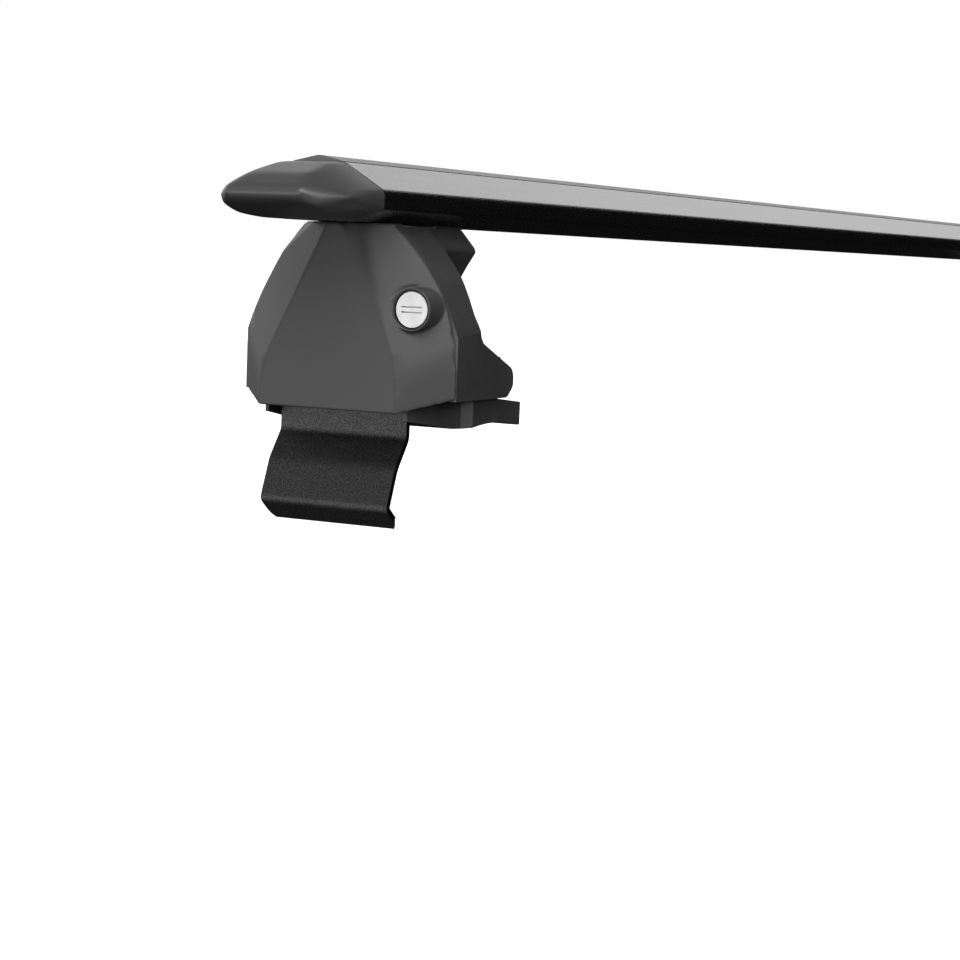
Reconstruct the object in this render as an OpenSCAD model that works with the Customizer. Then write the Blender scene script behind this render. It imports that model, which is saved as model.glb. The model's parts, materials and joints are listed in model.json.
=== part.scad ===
// Roof rack crossbar for a bare roof: hollow wing bar with two lockable clamp feet.
// Origin: on the surface the rack stands on, under the middle of the bar.
// +X runs along the bar, +Z is up. Each end is the other one turned half round about Z.

/* [Bar] */
// Length of the extrusion between the two end caps
bar_len = 1350; // [900:10:1400]
// Width of the wing profile
bar_w = 70; // [66:1:76]
// Height of the wing profile without the rubber strip
bar_h = 26; // [25:0.5:28]
// Wall thickness of the extrusion
bar_wall = 2; // [1.6:0.2:2.6]
// Width of the upper channel's mouth
top_mouth = 24; // [20:1:24]
// Width of the lower channel's mouth
low_mouth = 12.4; // [10:0.2:14]
// Height of the rubber strip's ridge above the bar
strip_rise = 3; // [2:0.5:4]
// Visible width of the rubber strip
strip_w = 27; // [26:0.5:28]
// Length of an end cap outside the bar
cap_len = 45.6; // [42:0.4:48]

/* [Foot] */
// Distance from the end of the bar to the outer face of a foot
foot_in = 13; // [12:0.5:14]
// Half width of a foot at its base
foot_hw = 57; // [52:1:60]
// Half width of a foot at its top
foot_top_hw = 26.5; // [24:0.5:28]
// Depth of a foot's cover below the bar, at its outer face
cover_drop = 86.4; // [84:0.2:88]
// Depth of the foot's base below the bar
base_drop = 79.5; // [78:0.5:80]
// Wall thickness of the cover
cover_wall = 2.6; // [2:0.1:3]
// Thickness of the rubber pad
pad_t = 13.8; // [12:0.2:15]

/* [Clamp bracket] */
// Width of the steel hook
hook_w = 68; // [56:1:70]
// Thickness of the steel hook
hook_t = 3; // [2.5:0.5:3]
// Clamping travel of the hook
hook_travel = 5; // [3:0.5:5]

/* [Lock] */
// Radius of the lock's turning face
lock_r = 8.2; // [7.8:0.1:8.3]
// Outer radius of the sleeve around the lock
sleeve_r = 9.9; // [9.8:0.1:11]

/* [Hidden] */
$fn = 64;
eps = 0.01;
lip_z = -138.8;                 // lowest edge of the hook, below the bar's underside
stand_h = -lip_z;               // height of the bar's underside above the surface
half = bar_len / 2;
seam_x = 32;                    // parting plane between cover and body
bolt_z = -66;                   // height of the clamp bolt
bolt_y = 0;
lock_y = -39.9;
lock_z = -38.4;
lock_face = 18.3;
hook_x = 27.9;                  // outer face of the hook's upright
nut_x = 58;
pin_x = 91.6;                   // pins that hold the pad to the body's inner lip
plastic = "#3c3d3f";
plastic_soft = "#38393b";
rubber = "#2b2b2c";
alu_black = "#4a4b4d";
steel = "#b9bcc0";
steel_black = "#1f1f20";
silver = "#dfe1e4";

// ---------- helpers ----------
function unit(v) = v / norm(v);
// a closed outline whose corners [x, y, r] are rounded to radius r
function rounded(p, n = 6) = [for (i = [0:len(p) - 1])
  let (a = p[(i + len(p) - 1) % len(p)], b = p[i], c = p[(i + 1) % len(p)])
  each corner(a, b, c, n)];
function corner(a, b, c, n) = b[2] == 0 ? [[b[0], b[1]]] :
  let (p = [b[0], b[1]], u = unit([a[0], a[1]] - p), v = unit([c[0], c[1]] - p),
       h = acos(u * v) / 2, t = b[2] / tan(h), m = p + unit(u + v) * b[2] / sin(h),
       s = p + u * t - m, e = p + v * t - m,
       a0 = atan2(s[1], s[0]), d0 = atan2(e[1], e[0]) - a0,
       d = d0 > 180 ? d0 - 360 : d0 < -180 ? d0 + 360 : d0)
  [for (k = [0:n]) m + b[2] * [cos(a0 + d * k / n), sin(a0 + d * k / n)]];
// an open path whose inner corners are rounded
function bent(p, n = 6) = [for (i = [0:len(p) - 1])
  each (i == 0 || i == len(p) - 1 ? [[p[i][0], p[i][1]]] : corner(p[i - 1], p[i], p[i + 1], n))];
// the outline of a band of thickness t lying on the left of an open path
function side_of(q, i) = let (a = q[max(i - 1, 0)], b = q[min(i + 1, len(q) - 1)], d = unit(b - a)) [-d[1], d[0]];
function band(q, t) = concat(q, [for (i = [len(q) - 1:-1:0]) q[i] + t * side_of(q, i)]);
// an arc from a to b that bulges by h to the left of a-b
function bow(a, b, h, n = 9) = let (d = b - a, l = norm(d), m = (a + b) / 2, nrm = [-d[1], d[0]] / l)
  [for (k = [0:n]) let (s = 2 * k / n - 1) m + d * s / 2 + nrm * h * (1 - s * s)];
function flip(q) = [for (i = [len(q) - 1:-1:0]) [-q[i][0], q[i][1]]];

// extrudes an outline drawn in (Y, Z) along X
module along_x(x0, x1) { translate([x0, 0, 0]) rotate([90, 0, 90]) linear_extrude(height = x1 - x0) children(); }
// extrudes an outline drawn in (X, Z) along Y
module along_y(y0, y1) { translate([0, y1, 0]) rotate([90, 0, 0]) linear_extrude(height = y1 - y0) children(); }
// everything beyond a plane through p whose outward normal points at (az, el)
module beyond(p, az, el, s = 300) { translate(p) rotate([0, -el, az]) translate([0, -s / 2, -s / 2]) cube([s, s, s]); }
module rod_x(x0, x1, r) { translate([x0, 0, 0]) rotate([0, 90, 0]) cylinder(h = x1 - x0, r = r); }
module at_left() { translate([-half, 0, stand_h]) children(); }
module at_right() { rotate([0, 0, 180]) at_left() children(); }

// ---------- bar ----------
// half of the wing's outline, from the middle of the underside round the nose to the top
function wing_half(w, h) = [[0, 0, 0], [w * 0.5, 0, 6], [w, h * 0.2, 2.6], [w, h * 0.525, 4], [14, h, 0.8], [0, h, 0]];
function wing(w, h) = let (q = rounded(wing_half(w, h), 5), m = [for (p = q) if (p[0] > 0.001) p])
  concat(m, [for (i = [len(m) - 1:-1:0]) [-m[i][0], m[i][1]]]);
module wing_2d(w = bar_w / 2, h = bar_h) { polygon(wing(w, h)); }
module channels_2d() {
  // upper channel, open at the top
  translate([-15, bar_h - 8.4]) square([30, 5.8]);
  translate([-top_mouth / 2, bar_h - 3]) square([top_mouth, 4]);
  // lower channel, open below
  translate([-10.5, 2.6]) square([21, 6.4]);
  translate([-low_mouth / 2, -1]) square([low_mouth, 4]);
}
// closed hollow on one side of the channels
function side_hollow() = rounded([[17.2, 2.1, 0.8], [bar_w / 2 - bar_wall, bar_h * 0.2 + 1.6, 1.6],
  [bar_w / 2 - bar_wall, bar_h * 0.525 - 1.4, 2], [17.2, 21.4, 0.8]], 4);
module hollows_2d() { polygon(side_hollow()); polygon(flip(side_hollow())); }
module middle_hollow_2d() { translate([-15, 11]) square([30, 4.6]); }

module bar_extrusion() color(alu_black) translate([0, 0, stand_h]) along_x(-half, half) difference() {
  wing_2d(); channels_2d(); hollows_2d(); middle_hollow_2d();
}

// rubber strip: low ridge above, stem and barbs in the upper channel
function strip_line() = [[-strip_w / 2, bar_h, 0], [-strip_w / 2, bar_h + 0.35, 0], [0, bar_h + strip_rise + 0.2, 8],
  [strip_w / 2, bar_h + 0.35, 0], [strip_w / 2, bar_h, 0], [11.7, bar_h, 0], [11.7, bar_h - 2.7, 0], [13.6, bar_h - 3.6, 0.4],
  [11.6, bar_h - 5.4, 0], [9.6, bar_h - 5.4, 0], [9.6, bar_h - 1.2, 0], [-9.6, bar_h - 1.2, 0], [-9.6, bar_h - 5.4, 0],
  [-11.6, bar_h - 5.4, 0], [-13.6, bar_h - 3.6, 0.4], [-11.7, bar_h - 2.7, 0], [-11.7, bar_h, 0]];
module top_strip() color(rubber) translate([0, 0, stand_h]) along_x(-half, half) polygon(rounded(strip_line(), 5));

// end cap: bull nose between broad facets, with plugs that enter the bar's hollows
function cap_nose() = [[2, -1, 0], [2, bar_h + 0.1, 0], [-12, bar_h - 0.4, 22], [-33, bar_h * 0.757, 26], [-cap_len + 1, bar_h * 0.496, 4],
  [-cap_len, bar_h * 0.37, 2.2], [-cap_len + 4.6, bar_h * 0.227, 9], [-28.5, 1.1, 14], [-17, -0.4, 0], [-14, -1, 0]];
module end_cap() color(plastic) {
  difference() {
    intersection() {
      along_x(-cap_len - 1, -0.05) wing_2d();
      along_y(-60, 60) polygon(rounded(cap_nose(), 6));
    }
    for (s = [1, -1]) {
      // gently crowned upper facet
      difference() {
        beyond([0, s * 14.2, bar_h - 3.2], s * 109.2, 57.6);
        translate([2.2, -s * 57.7, bar_h - 120.2]) rotate([s * 59.1, 0, 0]) cylinder(h = 200, r = 140, center = true);
      }
      beyond([-36, s * 23.9, 3.7], s * 110.1, -50.4);
      // blunt corner at the tip
      beyond([-cap_len, s * 19.5, 0], s * 130, 0);
    }
  }
  intersection() {
    along_x(-0.05, 14) difference() { hollows_2d(); translate([-50, 5]) square([100, 1]); translate([-50, 15]) square([100, 1]); }
    along_x(-1, 15) { polygon([[17.6, 2.4], [32.4, 2.4], [32.4, 21], [17.6, 21]]); polygon([[-17.6, 2.4], [-32.4, 2.4], [-32.4, 21], [-17.6, 21]]); }
  }
}

// ---------- foot ----------
// side outline of the foot seen along the bar, drawn in (Y, Z)
function foot_half(d) = concat(bow([foot_hw - d, -51.5], [foot_top_hw - d * 0.8, -0.8], -3.2), []);
function foot_outline(d, z1, z0) = let (h = foot_half(d))
  concat([[foot_hw - d, z0]], h, [[foot_top_hw - d * 0.8, z1]], flip(concat([[foot_hw - d, z0]], h, [[foot_top_hw - d * 0.8, z1]])));
module foot_2d(d = 0, z1 = -0.15, z0 = -100) { polygon(foot_outline(d, z1, z0)); }

// faceted form of the cover, inset by d
module cover_form(d) difference() {
  intersection() {
    along_x(foot_in + d, seam_x + (d > 0 ? 5 : 0)) foot_2d(d, -0.15 - d, -100);
    along_y(-70, 70) polygon([[foot_in - 3, -0.15 - d], [seam_x + 5, -0.15 - d], [seam_x + 5, -base_drop + 0.6 - d * 4], [31.6, -base_drop + 0.7 - d * 4], [12, -cover_drop - d * 4], [10, -cover_drop - 0.7 - d * 4]]);
  }
  // small facet at the top corner away from the lock
  beyond([foot_in + 19 + d, foot_top_hw, -0.8 - d * 0.6], 134.7, 33.5);
  // side facets, upper and lower, away from the lock and on its side
  beyond([foot_in + 0.3 + d * 1.22, 2.74, 0], 148.4, 14.9);
  beyond([foot_in - 0.2 + d * 1.37, 36.8, 0], 137, 0);
  beyond([foot_in + d * 1.264, -11.75, 0], -144, 11.9);
  beyond([foot_in + d * 1.34, -36, 0], -138.3, 0);
}
module lock_axis() { translate([0, lock_y, lock_z]) children(); }
module foot_cover() color(plastic) difference() {
  union() {
    difference() {
      cover_form(0);
      cover_form(cover_wall);
      // shallow round recess that deepens towards the side, around the lock's sleeve
      intersection() {
        translate([0, lock_y + 1.4, lock_z]) rod_x(0, seam_x, 11.1);
        beyond([foot_in + 1.3, -27.4, -38.5], -140, 11.9);
      }
    }
    intersection() {
      lock_axis() rod_x(lock_face - 0.9, seam_x - 0.4, sleeve_r);
      along_x(0, seam_x) foot_2d(1, -2, -90);
    }
    // snap ribs and stiffening ribs inside
    intersection() {
      cover_form(cover_wall - 0.2);
      union() {
        for (s = [1, -1]) translate([foot_in + 1, s * 17 - 1, -30]) cube([9, 2, 26]);
        translate([foot_in + 1, -17, -5.4]) cube([17.6, 34, 2]);
      }
    }
  }
  lock_axis() rod_x(lock_face - 5, 40, 9);
}

// the body: side walls, thick middle, hexagonal boss and a rounded lip at the inner foot
function body_side() = rounded([[seam_x, -1.2, 0], [54, -1.2, 2], [56.8, -24, 12], [54.4, -40, 10], [57, -52.5, 8], [94.6, -66.5, 6], [94.6, -74.5, 4],
  [88, -base_drop, 6], [seam_x, -base_drop, 0]], 5);
function body_mid() = rounded([[50, -1.2, 0], [78, -1.2, 0], [78, -30, 0], [82.5, -49, 1], [77.5, -53, 4], [80.5, -62.5, 8], [94.6, -66.5, 5], [94.6, -74.5, 4],
  [88, -base_drop, 6], [50, -base_drop, 0]], 4);
function hexagon() = rounded([[24.3, -1.2, 2], [32.8, -10.6, 2.5], [23.5, -26.6, 0], [-23.5, -26.6, 0], [-32.8, -10.6, 2.5], [-24.3, -1.2, 2]], 4);
// the drafted side faces of the body's lower part
module flank_draft(d) { for (s = [1, -1]) beyond([seam_x, s * (foot_hw - 0.1 - d), 0], s * 86.8, 0); }
module body_block() {
  difference() {
    intersection() {
      along_x(seam_x, 96) foot_2d(0, -1.2, -base_drop);
      along_y(-60, 60) polygon(body_side());
    }
    flank_draft(0);
  }
  difference() {
    intersection() {
      along_x(50, 96) foot_2d(0.6, -1.2, -base_drop);
      along_y(-60, 60) polygon(body_mid());
    }
    flank_draft(0.6);
    // bevelled flanks of the thick middle, above the lip
    for (s = [1, -1]) difference() {
      beyond([79, s * 27.5, -27], s * 58, 27);
      translate([0, -70, -100]) cube([100, 140, 40]);
    }
  }
  along_x(55, 95) polygon(hexagon());
}
module foot_body() color(plastic_soft) difference() {
  body_block();
  // open pocket behind the cover, left and right of the nut tower
  for (s = [1, -1]) translate([seam_x - 1, s > 0 ? 15 : -45, -72]) intersection() {
    cube([13, 30, 52]);
    translate([-seam_x + 1, s > 0 ? -15 : 45, 72]) along_x(0, 60) foot_2d(6, -20, -72);
  }
  // recess for the lock's cam, and the room in which the hook's upright travels
  intersection() { lock_axis() rod_x(seam_x - 1, seam_x + 4.6, 16.8); along_x(0, 60) foot_2d(3.6, -10, -74); }
  translate([seam_x - 1, -hook_w / 2 - 1.2, -110]) cube([6.8, hook_w + 2.4, 61.4]);
  // pocket in front of the T-bolts
  translate([seam_x - 1, -12, -44]) cube([10, 24, 26]);
  // bolt passage and nut seat
  translate([0, bolt_y, bolt_z]) { rod_x(seam_x - 1, 77, 4.6); translate([nut_x - 0.1, -7.1, -7.1]) cube([8.2, 14.2, 20]); }
  // holes for the bolts that hold the bar, with nut room below
  for (x = [50, 80]) translate([x, 0, -13]) { cylinder(h = 20, r = 3.4); translate([0, 0, -6]) cylinder(h = 8, r = 7.2); }
  translate([73, -7.2, -27]) cube([14.2, 14.4, 8]);
  // keyhole slots over the pad pins
  for (s = [1, -1]) translate([0, s * 39.5, 0]) { translate([pin_x - 1.8, -1.6, -base_drop - 1]) cube([10, 3.2, 13]); translate([0, 0, -67.5]) rod_x(pin_x - 1.8, 98, 2.6); }
}

// rubber pad: follows the foot's plan, notched for the hook, with an arched underside
function pad_plan() = rounded([[107, -52, 2], [107, 52, 2], [59, 52, 3], [46.5, 50, 3], [20.4, 38.2, 1], [20.4, 36, 0], [39.2, 36, 0], [39.2, -36, 0], [20.4, -36, 0],
  [20.4, -38.2, 1], [46.5, -50, 3], [59, -52, 3]], 5);
function pad_side() = concat([[18, -base_drop], [78, -base_drop], [109, -base_drop - 3.1], [109, -base_drop - pad_t]],
  bow([103.5, -base_drop - pad_t], [55, -base_drop - pad_t], -2.1, 10), [[50, -base_drop - pad_t], [18, -base_drop - pad_t + 4.6]]);
module base_pad() color(rubber) difference() {
  intersection() {
    translate([0, 0, -100]) linear_extrude(height = 30) polygon(pad_plan());
    along_y(-60, 60) polygon(pad_side());
  }
  for (s = [1, -1]) translate([pin_x, s * 39.5, -base_drop - 6]) cylinder(h = 10, r = 1.55);
}
module pad_pins() color(steel) for (s = [1, -1]) translate([pin_x, s * 39.5, -base_drop - 5.9]) cylinder(h = 18, r = 1.5);

// bent steel hook
function hook_path() = bent([[hook_x, -50, 0], [hook_x, -97.2, 5], [18.6, -110.4, 20], [11.6, -129.4, 3.6], [23.4, lip_z, 0]], 6);
module clamp_bracket() color(steel_black) difference() {
  intersection() {
    along_y(-hook_w / 2, hook_w / 2) polygon(band(hook_path(), hook_t));
    union() {
      translate([0, -hook_w / 2, -133.4]) cube([60, hook_w, 90]);
      // rounded corners of the lip
      translate([0, 0, lip_z - 5]) linear_extrude(height = 20) polygon(rounded([[0, -hook_w / 2, 0], [25.6, -hook_w / 2, 7], [25.6, hook_w / 2, 7], [0, hook_w / 2, 0]], 6));
    }
  }
  // bolt hole
  translate([0, bolt_y, bolt_z]) rod_x(20, 40, 4.5);
}
module at_bolt() { translate([0, bolt_y, bolt_z]) children(); }
module clamp_bolt() color(steel) at_bolt() difference() {
  union() { rod_x(hook_x - 1.6 - 8, hook_x - 1.6, 6.5); rod_x(hook_x - 1.7, 68, 4); }
  translate([hook_x - 1.6 - 8 - eps, 0, 0]) rotate([0, 90, 0]) cylinder(h = 4.5, r = 3.46, $fn = 6);
}
module clamp_washer() color(steel) at_bolt() difference() { rod_x(hook_x - 1.6, hook_x, 8); rod_x(hook_x - 2, hook_x + 1, 4.3); }
module clamp_nut() color(steel) at_bolt() difference() { translate([nut_x, -7, -7]) cube([8, 14, 14]); rod_x(nut_x - 1, nut_x + 9, 4.3); }

// parts that hold the foot to the bar's lower channel
module slot_plate() color(steel) difference() {
  union() { translate([42, -11, -1.2]) cube([30, 22, 1]); translate([68, -22.5, -1.2]) cube([27, 45, 1]); }
  for (x = [50, 80]) translate([x, 0, -3]) cylinder(h = 4, r = 3.3);
}
module slot_nut() color(steel) difference() {
  union() { translate([44, -10, 2.8]) cube([44, 20, 4]); translate([44, -low_mouth / 2 + 0.2, -0.1]) cube([44, low_mouth - 0.4, 3]); }
  for (x = [50, 80]) translate([x, 0, -1]) cylinder(h = 8.5, r = 3.05);
}
module slot_bolts() color(steel) for (x = [50, 80]) translate([x, 0, 0]) {
  translate([0, 0, -13]) cylinder(h = 19.5, r = 3);
  translate([0, 0, -19]) cylinder(h = 6, r = 5);
}

// ---------- lock ----------
module lock_housing() color(steel) lock_axis() difference() {
  rod_x(lock_face - 0.5, seam_x - 0.5, 8.95);
  rod_x(lock_face - 1.5, lock_face + 3.6, lock_r + 0.35);
  rod_x(lock_face, 34, 6.7);
}
module lock_cylinder() color(silver) lock_axis() difference() {
  union() { rod_x(lock_face, lock_face + 3, lock_r); rod_x(lock_face + 2.9, seam_x + 0.2, 6.4); }
  // key slot behind the dust shutter's two edges
  for (z = [1.2, -1.2]) translate([lock_face - 1, -4.5, z - 0.25]) cube([1.7, 9, 0.5]);
}
module lock_cam() color(steel) lock_axis() difference() {
  translate([seam_x + 0.2, -4.5, -4.5]) cube([2.4, 20, 9]);
  translate([seam_x - 1, 13, 2.6]) cube([5, 4, 4]);
}

bar_extrusion();
top_strip();
at_left() end_cap();  // left_end_cap
at_right() end_cap();  // right_end_cap
at_left() foot_body();  // left_foot_body
at_left() foot_cover();  // left_foot_cover
at_left() base_pad();  // left_base_pad
at_left() pad_pins();  // left_pad_pins
at_left() clamp_bracket();  // left_clamp_bracket
at_left() clamp_bolt();  // left_clamp_bolt
at_left() clamp_washer();  // left_clamp_washer
at_left() clamp_nut();  // left_clamp_nut
at_left() slot_plate();  // left_slot_plate
at_left() slot_nut();  // left_slot_nut
at_left() slot_bolts();  // left_slot_bolts
at_left() lock_housing();  // left_lock_housing
at_left() lock_cylinder();  // left_lock_cylinder
at_left() lock_cam();  // left_lock_cam
at_right() foot_body();  // right_foot_body
at_right() foot_cover();  // right_foot_cover
at_right() base_pad();  // right_base_pad
at_right() pad_pins();  // right_pad_pins
at_right() clamp_bracket();  // right_clamp_bracket
at_right() clamp_bolt();  // right_clamp_bolt
at_right() clamp_washer();  // right_clamp_washer
at_right() clamp_nut();  // right_clamp_nut
at_right() slot_plate();  // right_slot_plate
at_right() slot_nut();  // right_slot_nut
at_right() slot_bolts();  // right_slot_bolts
at_right() lock_housing();  // right_lock_housing
at_right() lock_cylinder();  // right_lock_cylinder
at_right() lock_cam();  // right_lock_cam
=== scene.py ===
import bpy, bmesh, json, math
import numpy as np
from mathutils import Vector, Matrix

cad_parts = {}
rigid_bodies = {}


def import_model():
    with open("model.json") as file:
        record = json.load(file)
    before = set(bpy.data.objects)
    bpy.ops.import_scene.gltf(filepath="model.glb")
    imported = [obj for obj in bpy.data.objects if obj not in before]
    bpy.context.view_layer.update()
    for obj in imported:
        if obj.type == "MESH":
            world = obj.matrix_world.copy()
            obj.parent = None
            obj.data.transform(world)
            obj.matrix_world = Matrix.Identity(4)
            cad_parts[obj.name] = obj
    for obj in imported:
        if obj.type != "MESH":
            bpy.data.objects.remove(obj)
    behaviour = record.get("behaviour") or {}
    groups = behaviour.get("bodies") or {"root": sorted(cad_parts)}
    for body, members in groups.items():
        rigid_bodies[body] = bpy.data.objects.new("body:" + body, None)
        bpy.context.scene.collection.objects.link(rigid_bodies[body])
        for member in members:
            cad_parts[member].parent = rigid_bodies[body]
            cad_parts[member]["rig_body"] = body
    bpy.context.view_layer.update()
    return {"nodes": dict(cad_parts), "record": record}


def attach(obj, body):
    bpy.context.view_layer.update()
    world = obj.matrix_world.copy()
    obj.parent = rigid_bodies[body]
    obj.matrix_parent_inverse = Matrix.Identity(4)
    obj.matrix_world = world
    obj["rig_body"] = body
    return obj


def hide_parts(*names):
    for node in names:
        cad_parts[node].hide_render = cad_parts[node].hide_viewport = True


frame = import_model()
NODES = frame["nodes"]
STAND = 0.1388            # height of the bar's underside above the floor
HALF = 0.675              # half the bar's length
SCENE = bpy.context.scene


# ------------------------------------------------------------------ materials
class Tree:
    """A small helper for building one material's nodes."""

    def __init__(self, name):
        self.mat = bpy.data.materials.new(name)
        self.mat.use_nodes = True
        self.nt = self.mat.node_tree
        self.bsdf = self.nt.nodes["Principled BSDF"]
        self.coord = self.nt.nodes.new("ShaderNodeTexCoord").outputs["Object"]

    def put(self, socket, value):
        self.bsdf.inputs[socket].default_value = value

    def link(self, a, b):
        self.nt.links.new(a, b)

    def scaled(self, scale, turn=(0, 0, 0)):
        n = self.nt.nodes.new("ShaderNodeMapping")
        n.inputs["Scale"].default_value = scale
        n.inputs["Rotation"].default_value = turn
        self.link(self.coord, n.inputs["Vector"])
        return n.outputs["Vector"]

    def noise(self, scale, detail=2.0, rough=0.5, vector=None, distortion=0.0):
        n = self.nt.nodes.new("ShaderNodeTexNoise")
        n.inputs["Scale"].default_value = scale
        n.inputs["Detail"].default_value = detail
        n.inputs["Roughness"].default_value = rough
        n.inputs["Distortion"].default_value = distortion
        self.link(vector or self.coord, n.inputs["Vector"])
        return n.outputs["Fac"]

    def cells(self, scale, vector=None):
        n = self.nt.nodes.new("ShaderNodeTexVoronoi")
        n.inputs["Scale"].default_value = scale
        self.link(vector or self.coord, n.inputs["Vector"])
        return n.outputs["Distance"]

    def ramp(self, fac, stops):
        n = self.nt.nodes.new("ShaderNodeValToRGB")
        e = n.color_ramp.elements
        while len(e) < len(stops):
            e.new(0.5)
        for s, (p, c) in zip(e, stops):
            s.position = p
            s.color = (c, c, c, 1) if isinstance(c, (int, float)) else (*c, 1)
        self.link(fac, n.inputs["Fac"])
        return n.outputs["Color"]

    def span(self, fac, a, b, lo=0.0, hi=1.0):
        n = self.nt.nodes.new("ShaderNodeMapRange")
        for k, v in (("From Min", lo), ("From Max", hi), ("To Min", a), ("To Max", b)):
            n.inputs[k].default_value = v
        self.link(fac, n.inputs["Value"])
        return n.outputs["Result"]

    def mix(self, fac, a, b, mode="MIX"):
        n = self.nt.nodes.new("ShaderNodeMix")
        n.data_type, n.blend_type = "RGBA", mode
        for k, v in ((0, fac), (6, a), (7, b)):
            if isinstance(v, bpy.types.NodeSocket):
                self.link(v, n.inputs[k])
            elif k == 0:
                n.inputs[k].default_value = v
            else:
                n.inputs[k].default_value = (*v, 1)
        return n.outputs[2]

    def add(self, a, b, op="ADD"):
        n = self.nt.nodes.new("ShaderNodeMath")
        n.operation = op
        for k, v in ((0, a), (1, b)):
            if isinstance(v, bpy.types.NodeSocket):
                self.link(v, n.inputs[k])
            else:
                n.inputs[k].default_value = v
        return n.outputs[0]

    def edges(self, lo=0.505, hi=0.56):
        """1 on convex edges, 0 on flats."""
        n = self.nt.nodes.new("ShaderNodeNewGeometry")
        return self.span(n.outputs["Pointiness"], 0.0, 1.0, lo, hi)

    def bump(self, height, strength, distance, under=None):
        n = self.nt.nodes.new("ShaderNodeBump")
        n.inputs["Strength"].default_value = strength
        n.inputs["Distance"].default_value = distance
        self.link(height, n.inputs["Height"])
        if under:
            self.link(under, n.inputs["Normal"])
        return n.outputs["Normal"]


def plastic(name, base, rough, grain=0.00004, edge=1.5, spec=0.5):
    """Moulded plastic: fine spark-erosion grain, faint handling marks, edges rubbed a little lighter."""
    t = Tree(name)
    cloud = t.noise(28, 3, 0.55)
    fine = t.noise(2400, 2, 0.6)
    colour = t.mix(t.span(cloud, 0.0, 1.0, 0.3, 0.7), tuple(base * 0.97 for _ in range(3)), tuple(base * 1.03 for _ in range(3)))
    worn = t.add(t.edges(0.51, 0.60), t.span(t.noise(420, 3, 0.6), 0.2, 0.8, 0.35, 0.65), "MULTIPLY")
    colour = t.mix(worn, colour, tuple(min(base * edge, 1) for _ in range(3)))
    t.link(colour, t.bsdf.inputs["Base Color"])
    r = t.add(t.span(cloud, rough - 0.012, rough + 0.015, 0.3, 0.7), t.span(fine, -0.03, 0.03))
    t.link(r, t.bsdf.inputs["Roughness"])
    n = t.bump(fine, 0.5, grain)
    n = t.bump(t.noise(700, 2, 0.5), 0.15, grain * 1.5, n)
    t.link(n, t.bsdf.inputs["Normal"])
    t.put("Specular IOR Level", spec)
    return t.mat


def anodised(name):
    """Black anodised extrusion: metal under a dyed skin, sandblast grain and faint drawing lines along X."""
    t = Tree(name)
    lines = t.noise(520, 3, 0.6, t.scaled((0.02, 1, 1)))
    grain = t.noise(1500, 2, 0.7)
    base = t.ramp(t.add(t.span(grain, 0.0, 0.8), t.span(lines, 0.0, 0.2)), [(0.25, 0.24), (0.5, 0.31), (0.78, 0.39)])
    t.link(base, t.bsdf.inputs["Base Color"])
    t.put("Metallic", 1.0)
    t.link(t.span(grain, 0.20, 0.30, 0.2, 0.8), t.bsdf.inputs["Roughness"])
    n = t.bump(grain, 0.3, 0.00004)
    n = t.bump(lines, 0.15, 0.00003, n)
    t.link(n, t.bsdf.inputs["Normal"])
    return t.mat


def rubber(name, base, rough):
    t = Tree(name)
    dust = t.noise(60, 4, 0.6)
    fine = t.noise(1500, 3, 0.65)
    colour = t.mix(t.span(dust, 0, 1, 0.35, 0.75), tuple(base * 0.85 for _ in range(3)), tuple(base * 1.25 for _ in range(3)))
    colour = t.mix(t.add(t.edges(), 0.5, "MULTIPLY"), colour, tuple(base * 1.7 for _ in range(3)))
    t.link(colour, t.bsdf.inputs["Base Color"])
    t.link(t.span(fine, rough - 0.06, rough + 0.08, 0.25, 0.75), t.bsdf.inputs["Roughness"])
    t.link(t.bump(fine, 0.5, 0.00008), t.bsdf.inputs["Normal"])
    return t.mat


def powder_coat(name):
    """Sandy black powder coat: coarse grains in the bump, with a painted highlight on the grain tops and painted shade
    in the pits.
    """
    t = Tree(name)
    grit = t.noise(1150, 4, 0.8)
    speck = t.noise(2300, 2, 0.6)
    height = t.add(t.span(grit, 0.0, 0.75, 0.3, 0.7), t.span(speck, 0.0, 0.25, 0.3, 0.7), "ADD")
    # painted highlight and painted shade: the base colour follows the grain height, dark in the pits and light on the
    # grain tops
    base = t.ramp(height, [(0.36, 0.001), (0.56, 0.003), (0.70, 0.06)])
    base = t.mix(t.add(t.edges(), 0.25, "MULTIPLY"), base, (0.06, 0.06, 0.06))
    t.link(base, t.bsdf.inputs["Base Color"])
    t.link(t.span(grit, 0.48, 0.12, 0.38, 0.62), t.bsdf.inputs["Roughness"])
    t.link(t.bump(height, 0.9, 0.00013), t.bsdf.inputs["Normal"])
    t.put("Specular IOR Level", 1.0)
    return t.mat


def steel(name, base, rough, metallic=1.0, lines=(1, 1, 1), tint=(1, 1, 1)):
    """Zinc-plated or satin metal with turning or rolling marks."""
    t = Tree(name)
    rolled = t.noise(900, 3, 0.6, t.scaled(lines))
    cloud = t.noise(120, 3, 0.5)
    lo = tuple(base * 0.86 * c for c in tint)
    hi = tuple(min(base * 1.08 * c, 1) for c in tint)
    t.link(t.mix(t.span(cloud, 0, 1, 0.3, 0.7), lo, hi), t.bsdf.inputs["Base Color"])
    t.put("Metallic", metallic)
    t.link(t.span(rolled, rough - 0.05, rough + 0.09, 0.25, 0.75), t.bsdf.inputs["Roughness"])
    t.link(t.bump(rolled, 0.3, 0.00003), t.bsdf.inputs["Normal"])
    return t.mat


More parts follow.
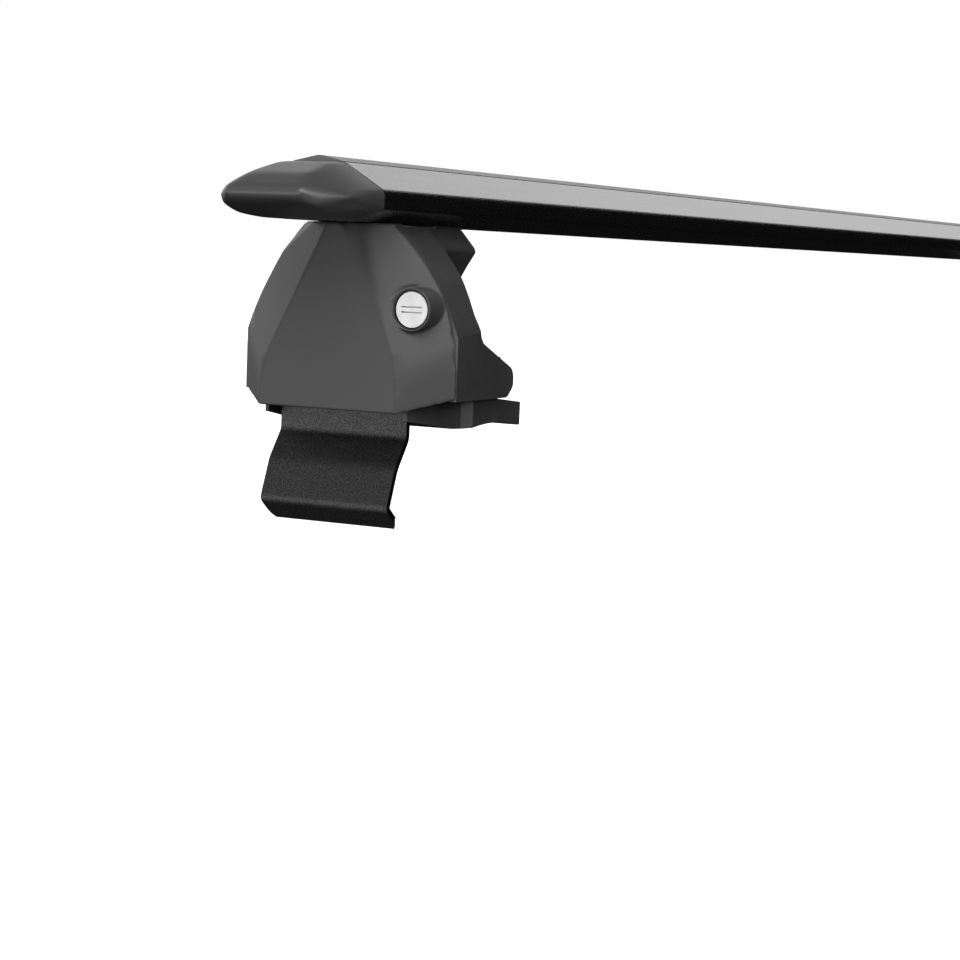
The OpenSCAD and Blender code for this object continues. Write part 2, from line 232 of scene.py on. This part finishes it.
M = {
    "bar_black": anodised("bar_black_anodised"),
    "strip_rubber": rubber("strip_rubber", 0.060, 0.36),
    "cap_plastic": plastic("cap_plastic", 0.055, 0.38),
    "body_plastic": plastic("body_plastic", 0.044, 0.42),
    "cover_plastic": plastic("cover_plastic", 0.056, 0.42, spec=0.24),
    "pad_rubber": rubber("pad_rubber", 0.038, 0.46),
    "hook_paint": powder_coat("hook_powder_coat"),
    "bright_steel": steel("bright_zinc_steel", 0.72, 0.30, 1.0, (0.05, 1, 1)),
    "bolt_steel": steel("bolt_zinc_steel", 0.58, 0.34, 1.0, (1, 1, 1)),
    "lock_ring": steel("lock_ring_dark", 0.05, 0.36, 1.0),
    "lock_face": steel("lock_face_satin", 0.62, 0.34, 0.30, (1, 1, 0.08)),
}
SLOT = {s["node"]: s["material_slot"] for s in frame["record"]["subparts"]}


# ------------------------------------------------------------------ refined pieces
def welded(node):
    """The CAD node's mesh as a welded bmesh with its flat faces joined."""
    bm = bmesh.new()
    bm.from_mesh(NODES[node].data)
    bmesh.ops.remove_doubles(bm, verts=bm.verts, dist=1e-6)
    bmesh.ops.dissolve_limit(bm, angle_limit=math.radians(0.4), verts=bm.verts, edges=bm.edges, use_dissolve_boundaries=False)
    bmesh.ops.recalc_face_normals(bm, faces=bm.faces)
    return bm


def local(node, v):
    """A point in its foot's own millimetres: x from the bar's cut end, z from the bar's underside."""
    s = 1 if node.startswith("left_") else -1
    return Vector(((s * v.x + HALF) * 1000, s * v.y * 1000, (v.z - STAND) * 1000))


def rounded(bm, width, segments, test, clamp=True):
    """Rounds the edges that pass the test."""
    picked = [e for e in bm.edges if len(e.link_faces) == 2 and test(e)]
    if picked:
        bmesh.ops.bevel(bm, geom=picked, offset=width, offset_type="OFFSET", segments=segments, profile=0.5,
                        affect="EDGES", clamp_overlap=clamp, miter_outer="ARC", loop_slide=True)
        bmesh.ops.remove_doubles(bm, verts=bm.verts, dist=2e-6)
        bm.normal_update()
    return bm


def sharp(e, angle):
    return e.calc_face_angle(0) > math.radians(angle)


def piece(node, me, smooth=32):
    """Makes a mesh the visible piece that stands for a CAD node."""
    me.name = node + "_skin"
    me.polygons.foreach_set("use_smooth", [True] * len(me.polygons))
    me.set_sharp_from_angle(angle=math.radians(smooth))
    ob = bpy.data.objects.new(node + "_skin", me)
    SCENE.collection.objects.link(ob)
    me.materials.clear()
    me.materials.append(M[SLOT[node]])
    w = ob.modifiers.new("even_shading", "WEIGHTED_NORMAL")
    w.keep_sharp = True
    w.weight = 80
    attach(ob, NODES[node]["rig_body"])
    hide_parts(node)
    return ob


def as_mesh(bm):
    me = bpy.data.meshes.new("skin")
    bmesh.ops.triangulate(bm, faces=[f for f in bm.faces if len(f.verts) > 4], ngon_method="BEAUTY")
    bm.normal_update()
    bm.to_mesh(me)
    bm.free()
    return me


def even_mesh(node, cell):
    """The node's form in small even faces."""
    me = as_mesh(welded(node))
    ob = bpy.data.objects.new("raw", me)
    SCENE.collection.objects.link(ob)
    m = ob.modifiers.new("even", "REMESH")
    m.mode, m.voxel_size, m.adaptivity = "VOXEL", cell, 0
    out = bpy.data.meshes.new_from_object(ob.evaluated_get(bpy.context.evaluated_depsgraph_get()))
    bpy.data.objects.remove(ob)
    bpy.data.meshes.remove(me)
    return out


def relaxed(me, rounds, weight):
    """Blends the corners by averaging neighbours, more where the weight is high."""
    n = len(me.vertices)
    co = np.empty(n * 3)
    me.vertices.foreach_get("co", co)
    co = co.reshape(-1, 3)
    ed = np.empty(len(me.edges) * 2, dtype=np.int64)
    me.edges.foreach_get("vertices", ed)
    a, b = ed[::2], ed[1::2]
    w = 0.5 * weight(co)[:, None]
    count = np.maximum(np.bincount(a, minlength=n) + np.bincount(b, minlength=n), 1)[:, None]
    for _ in range(rounds):
        mean = np.stack([np.bincount(a, co[b, k], n) + np.bincount(b, co[a, k], n) for k in range(3)], axis=1) / count
        co += w * (mean - co)
    me.vertices.foreach_set("co", co.ravel())
    me.update()
    return me


def end_cap(node):
    """Moulded cap with soft blends between its facets; it stays crisp where it meets the bar."""
    s = 1 if node.startswith("left_") else -1

    def weight(co):
        out = -(s * co[:, 0] + HALF) * 1000
        return np.clip((out - 0.8) / 3.0, 0, 1)
    piece(node, relaxed(even_mesh(node, 0.00045), 120, weight), 60)


def foot_cover(node):
    """Moulded cover: crisp but softened creases, and a wide soft blend where each side facet bends."""
    s = 1 if node.startswith("left_") else -1
    me = even_mesh(node, 0.00055)

    def own(co):
        return (s * co[:, 0] + HALF) * 1000, s * co[:, 1] * 1000, (co[:, 2] - STAND) * 1000

    def from_lock(co):
        x, y, z = own(co)
        return np.hypot(y + 39.9, z + 38.4)

    def bend(co):
        x, y, z = own(co)
        w = np.zeros(len(co))
        for y1, az1, el1, x2, y2, az2 in ((-11.75, -144, 11.9, 13.0, -36.0, -138.3), (2.74, 148.4, 14.9, 12.8, 36.8, 137.0)):
            a1, e1, a2 = (math.radians(v) for v in (az1, el1, az2))
            x1 = 13.0 if y1 < 0 else 13.3
            d1 = np.abs((x - x1) * math.cos(a1) * math.cos(e1) + (y - y1) * math.sin(a1) * math.cos(e1) + z * math.sin(e1))
            d2 = np.abs((x - x2) * math.cos(a2) + (y - y2) * math.sin(a2))
            near = np.clip(1 - np.maximum(d1, d2) / 2.2, 0, 1)
            w = np.maximum(w, np.minimum(1, near * 2) * (np.minimum(d1, d2) < 0.6))
            if y1 < 0:  # the crease beside the lock fades out upwards
                d0 = np.abs(x - 13.0)
                near = np.clip(1 - np.maximum(d0, d1) / 4.5, 0, 1)
                w = np.maximum(w, np.minimum(1, near * 2) * (np.minimum(d0, d1) < 1.0) * np.clip((z + 46) / 12, 0, 1))
        return w * np.clip((from_lock(co) - 12.5) / 3, 0, 1)
    relaxed(me, 260, bend)
    piece(node, relaxed(me, 7, lambda co: np.where(from_lock(co) < 12, 0.35, 1.0)), 60)


def foot_body(node):
    bm = welded(node)
    near = [f for f in bm.faces if any(local(node, v.co).x > 94.8 for v in f.verts) and local(node, f.calc_center_median()).z > -27]
    s = 1 if node.startswith("left_") else -1
    geom = list({v for f in near for v in f.verts}) + list({e for f in near for e in f.edges}) + near
    bmesh.ops.bisect_plane(bm, geom=geom, dist=1e-7, plane_co=(s * (0.0905 - HALF), 0, 0), plane_no=(1, 0, 0))
    for v in bm.verts:  # chamfered end of the boss
        p = local(node, v.co)
        if p.x > 94.8 and p.z > -27:
            v.co.y *= 30.6 / 32.8
            v.co.z = STAND - 0.0135 + (v.co.z - STAND + 0.0135) * 10.6 / 12.6
    bm.normal_update()
    rounded(bm, 0.0007, 3, lambda e: sharp(e, 22) and e.calc_length() > 0.005)
    rounded(bm, 0.0003, 2, lambda e: sharp(e, 40))
    piece(node, as_mesh(bm))


def base_pad(node):
    """Moulded pad; its two widest corners are cut back to short slanting faces."""
    bm = welded(node)
    s = 1 if node.startswith("left_") else -1
    for x in (54.6, 58.1):
        bmesh.ops.bisect_plane(bm, geom=bm.verts[:] + bm.edges[:] + bm.faces[:], dist=1e-7, plane_co=(s * (x / 1000 - HALF), 0, 0), plane_no=(1, 0, 0))
    for v in bm.verts:
        p = local(node, v.co)
        if 20.4 < p.x < 58.1:
            reach = 38.2 + (p.x - 20.4) * 9.0 / 34.2 if p.x < 54.6 else 47.2 + (p.x - 54.6) * 4.8 / 3.5
            if abs(p.y) > reach:
                v.co.y *= reach / abs(p.y)
    bmesh.ops.remove_doubles(bm, verts=bm.verts, dist=1e-5)
    bm.normal_update()
    rounded(bm, 0.0007, 3, lambda e: sharp(e, 24))
    piece(node, as_mesh(bm))


def lock_cylinder(node):
    """Turned disc and barrel, with the two fine slots of the key's dust shutter cut into the face."""
    s = 1 if node.startswith("left_") else -1

    def at(x, y, z):
        return (s * (x / 1000 - HALF), s * (y - 39.9) / 1000, STAND + (z - 38.4) / 1000)
    bm = bmesh.new()
    rings = []
    for x, radius in ((18.3, 7.95), (18.36, 8.1), (18.5, 8.2), (21.3, 8.2), (21.3, 6.4), (32.2, 6.4)):
        rings.append([bm.verts.new(at(x, radius * math.cos(k * math.pi / 48), radius * math.sin(k * math.pi / 48))) for k in range(96)])
    for p, q in zip(rings, rings[1:]):
        for k in range(96):
            bm.faces.new((p[k], p[(k + 1) % 96], q[(k + 1) % 96], q[k]))
    bm.faces.new(rings[0])
    bm.faces.new(rings[-1])
    bmesh.ops.recalc_face_normals(bm, faces=bm.faces)
    body = bpy.data.objects.new("turned", bpy.data.meshes.new("turned"))
    bm.to_mesh(body.data)
    bm.free()
    bm = bmesh.new()
    for mid in (1.2, -1.2):
        v = {(i, j, k): bm.verts.new(at((17.0, 20.0)[i], (-5.3, 5.3)[j], mid + (-0.31, 0.31)[k])) for i in (0, 1) for j in (0, 1) for k in (0, 1)}
        for f in ((0, 1), (1, 1), (2, 1), (0, 0), (1, 0), (2, 0)):
            ax, side = f
            c = [t for t in v if t[ax] == side]
            o = [i for i in (0, 1, 2) if i != ax]
            c.sort(key=lambda t: ((0, 0), (0, 1), (1, 1), (1, 0)).index((t[o[0]], t[o[1]])))
            bm.faces.new([v[t] for t in c])
    bmesh.ops.recalc_face_normals(bm, faces=bm.faces)
    cut = bpy.data.objects.new("slots", bpy.data.meshes.new("slots"))
    bm.to_mesh(cut.data)
    bm.free()
    for ob in (body, cut):
        SCENE.collection.objects.link(ob)
    m = body.modifiers.new("slots", "BOOLEAN")
    m.operation, m.solver, m.object = "DIFFERENCE", "EXACT", cut
    out = bpy.data.meshes.new_from_object(body.evaluated_get(bpy.context.evaluated_depsgraph_get()))
    for ob in (body, cut):
        bpy.data.objects.remove(ob)
    piece(node, out)


ROUND = {  # node ending: (edge radius, sharpest angle left alone)
    "clamp_bracket": (0.0005, 40), "slot_plate": (0.0002, 30), "slot_nut": (0.0003, 30),
    "clamp_washer": (0.0002, 40), "clamp_nut": (0.0003, 30), "lock_cam": (0.0003, 30), "lock_housing": (0.0001, 40),
    "clamp_bolt": (0.0003, 40), "slot_bolts": (0.0003, 40), "pad_pins": (0.0003, 40),
}
for side in ("left_", "right_"):
    end_cap(side + "end_cap")
    foot_cover(side + "foot_cover")
    foot_body(side + "foot_body")
    base_pad(side + "base_pad")
    lock_cylinder(side + "lock_cylinder")
    for part, (radius, angle) in ROUND.items():
        piece(side + part, as_mesh(rounded(welded(side + part), radius, 3, lambda e: sharp(e, angle))))

for name, ob in NODES.items():
    if not ob.hide_render:
        ob.data.materials.clear()
        ob.data.materials.append(M[SLOT[name]])


# ------------------------------------------------------------------ studio
def floor():
    """White paper that stays white in the picture and adds no light of its own to the object."""
    me = bpy.data.meshes.new("floor")
    s = 60.0
    me.from_pydata([(-s, -s, 0), (s, -s, 0), (s, s, 0), (-s, s, 0)], [], [(0, 1, 2, 3)])
    ob = bpy.data.objects.new("floor", me)
    SCENE.collection.objects.link(ob)
    m = bpy.data.materials.new("floor_paper")
    m.use_nodes = True
    b = m.node_tree.nodes["Principled BSDF"]
    b.inputs["Base Color"].default_value = (0.86, 0.86, 0.86, 1)
    b.inputs["Roughness"].default_value = 0.95
    b.inputs["Emission Color"].default_value = (1, 1, 1, 1)
    b.inputs["Emission Strength"].default_value = 1.0
    me.materials.append(m)
    ob.visible_glossy = False
    ob.visible_diffuse = False


def area(name, where, aim, size, power, shade=1.0):
    d = bpy.data.lights.new(name, "AREA")
    d.shape, d.size, d.size_y, d.energy = "RECTANGLE", size[0], size[1], power
    d.color = (shade, shade, shade)
    ob = bpy.data.objects.new(name, d)
    SCENE.collection.objects.link(ob)
    ob.location = where
    ob.rotation_mode = "QUATERNION"
    ob.rotation_quaternion = (Vector(aim) - Vector(where)).to_track_quat("-Z", "Y")
    return ob


def world():
    """A dark studio with a long bright panel behind the object and a low one in front on the left."""
    w = bpy.data.worlds.new("studio")
    SCENE.world = w
    w.use_nodes = True
    nt = w.node_tree
    nt.nodes.clear()
    coord = nt.nodes.new("ShaderNodeTexCoord").outputs["Generated"]

    def slope(toward, lo, hi):
        """0 to 1 as the direction turns towards a vector, from one cosine to another."""
        d = nt.nodes.new("ShaderNodeVectorMath")
        d.operation = "DOT_PRODUCT"
        nt.links.new(coord, d.inputs[0])
        d.inputs[1].default_value = Vector(toward).normalized()
        m = nt.nodes.new("ShaderNodeMapRange")
        m.interpolation_type = "SMOOTHSTEP"
        m.inputs["From Min"].default_value = min(lo, hi)
        m.inputs["From Max"].default_value = max(lo, hi)
        m.inputs["To Min"].default_value = 0 if lo < hi else 1
        m.inputs["To Max"].default_value = 1 if lo < hi else 0
        nt.links.new(d.outputs["Value"], m.inputs["Value"])
        return m.outputs["Result"]

    def calc(op, a, b):
        n = nt.nodes.new("ShaderNodeMath")
        n.operation = op
        for k, v in ((0, a), (1, b)):
            if isinstance(v, bpy.types.NodeSocket):
                nt.links.new(v, n.inputs[k])
            else:
                n.inputs[k].default_value = v
        return n.outputs[0]

    total = None
    for strength, parts in PANELS:
        p = strength
        for q in parts:
            p = calc("MULTIPLY", slope(*q), p)
        total = p if total is None else calc("ADD", total, p)
    total = calc("ADD", total, AMBIENT)
    sky, seen = nt.nodes.new("ShaderNodeBackground"), nt.nodes.new("ShaderNodeBackground")
    sky.inputs["Color"].default_value = (1, 1, 1, 1)
    nt.links.new(total, sky.inputs["Strength"])
    seen.inputs["Color"].default_value = (1, 1, 1, 1)
    seen.inputs["Strength"].default_value = 1.0
    mix, path, out = (nt.nodes.new(k) for k in ("ShaderNodeMixShader", "ShaderNodeLightPath", "ShaderNodeOutputWorld"))
    nt.links.new(path.outputs["Is Camera Ray"], mix.inputs["Fac"])
    nt.links.new(sky.outputs[0], mix.inputs[1])
    nt.links.new(seen.outputs[0], mix.inputs[2])
    nt.links.new(mix.outputs[0], out.inputs["Surface"])


PANELS = [
    # behind the object, from the bar's direction round to the left, low to middling high
    (1.02, [((0, 1, 0), -0.03, 0.07), ((0, 0, 1), 0.0, 0.08), ((0, 0, 1), 0.66, 0.50), ((1, 0.3, 0), 0.15, 0.55)]),
    # on the left, weaker, down to the floor
    (0.62, [((0, 1, 0), 0.5, 0.8), ((0, 0, 1), -0.4, -0.1), ((0, 0, 1), 0.66, 0.40), ((1, 0, 0), 0.6, 0.3)]),
    # pale paper seen from above, in front on the left
    (0.30, [((-0.62, -0.10, -0.78), 0.45, 0.90)]),
    # low in front, on the left
    (2.1, [((-0.87, 0.48, -0.04), 0.88, 0.96), ((0, 0, 1), 0.16, 0.04)]),
    # above and in front
    (0.35, [((-0.55, -0.35, 0.75), 0.6, 0.95)]),
]
AMBIENT = 0.006


def camera():
    a, e, r = math.radians(-62.06), math.radians(5.53), math.radians(2.22)
    back = Vector((math.sin(a) * math.cos(e), -math.cos(a) * math.cos(e), math.sin(e)))
    right0 = Vector((math.cos(a), math.sin(a), 0))
    up0 = right0.cross(-back)
    right = math.cos(r) * right0 + math.sin(r) * up0
    up = -math.sin(r) * right0 + math.cos(r) * up0
    c = bpy.data.cameras.new("camera")
    c.sensor_width = 36
    c.lens = 2300 / 960 * 36
    c.clip_start, c.clip_end = 0.02, 100
    ob = bpy.data.objects.new("camera", c)
    SCENE.collection.objects.link(ob)
    ob.matrix_world = Matrix.Translation((-0.88015 - HALF, -0.5545, STAND - 0.01375)) @ Matrix((
        (right.x, up.x, back.x), (right.y, up.y, back.y), (right.z, up.z, back.z))).to_4x4()
    SCENE.camera = ob


floor()
world()
camera()
foot = (0.03 - HALF, 0.0, 0.08)
key = area("key", (-HALF - 1.15, -0.30, 1.25), foot, (1.1, 1.1), 26)
fill = area("fill", (-HALF - 0.85, -1.35, 0.65), foot, (0.9, 0.8), 13)
spared = bpy.data.collections.new("not_lit_by_lamps")  # the hook hangs in the lamps' shade, lit by the panels only
for side in ("left_", "right_"):
    spared.objects.link(bpy.data.objects[side + "clamp_bracket_skin"])
for o in spared.collection_objects:
    o.light_linking.link_state = "EXCLUDE"
key.light_linking.receiver_collection = spared
fill.light_linking.receiver_collection = spared
SCENE.view_settings.view_transform = "Standard"
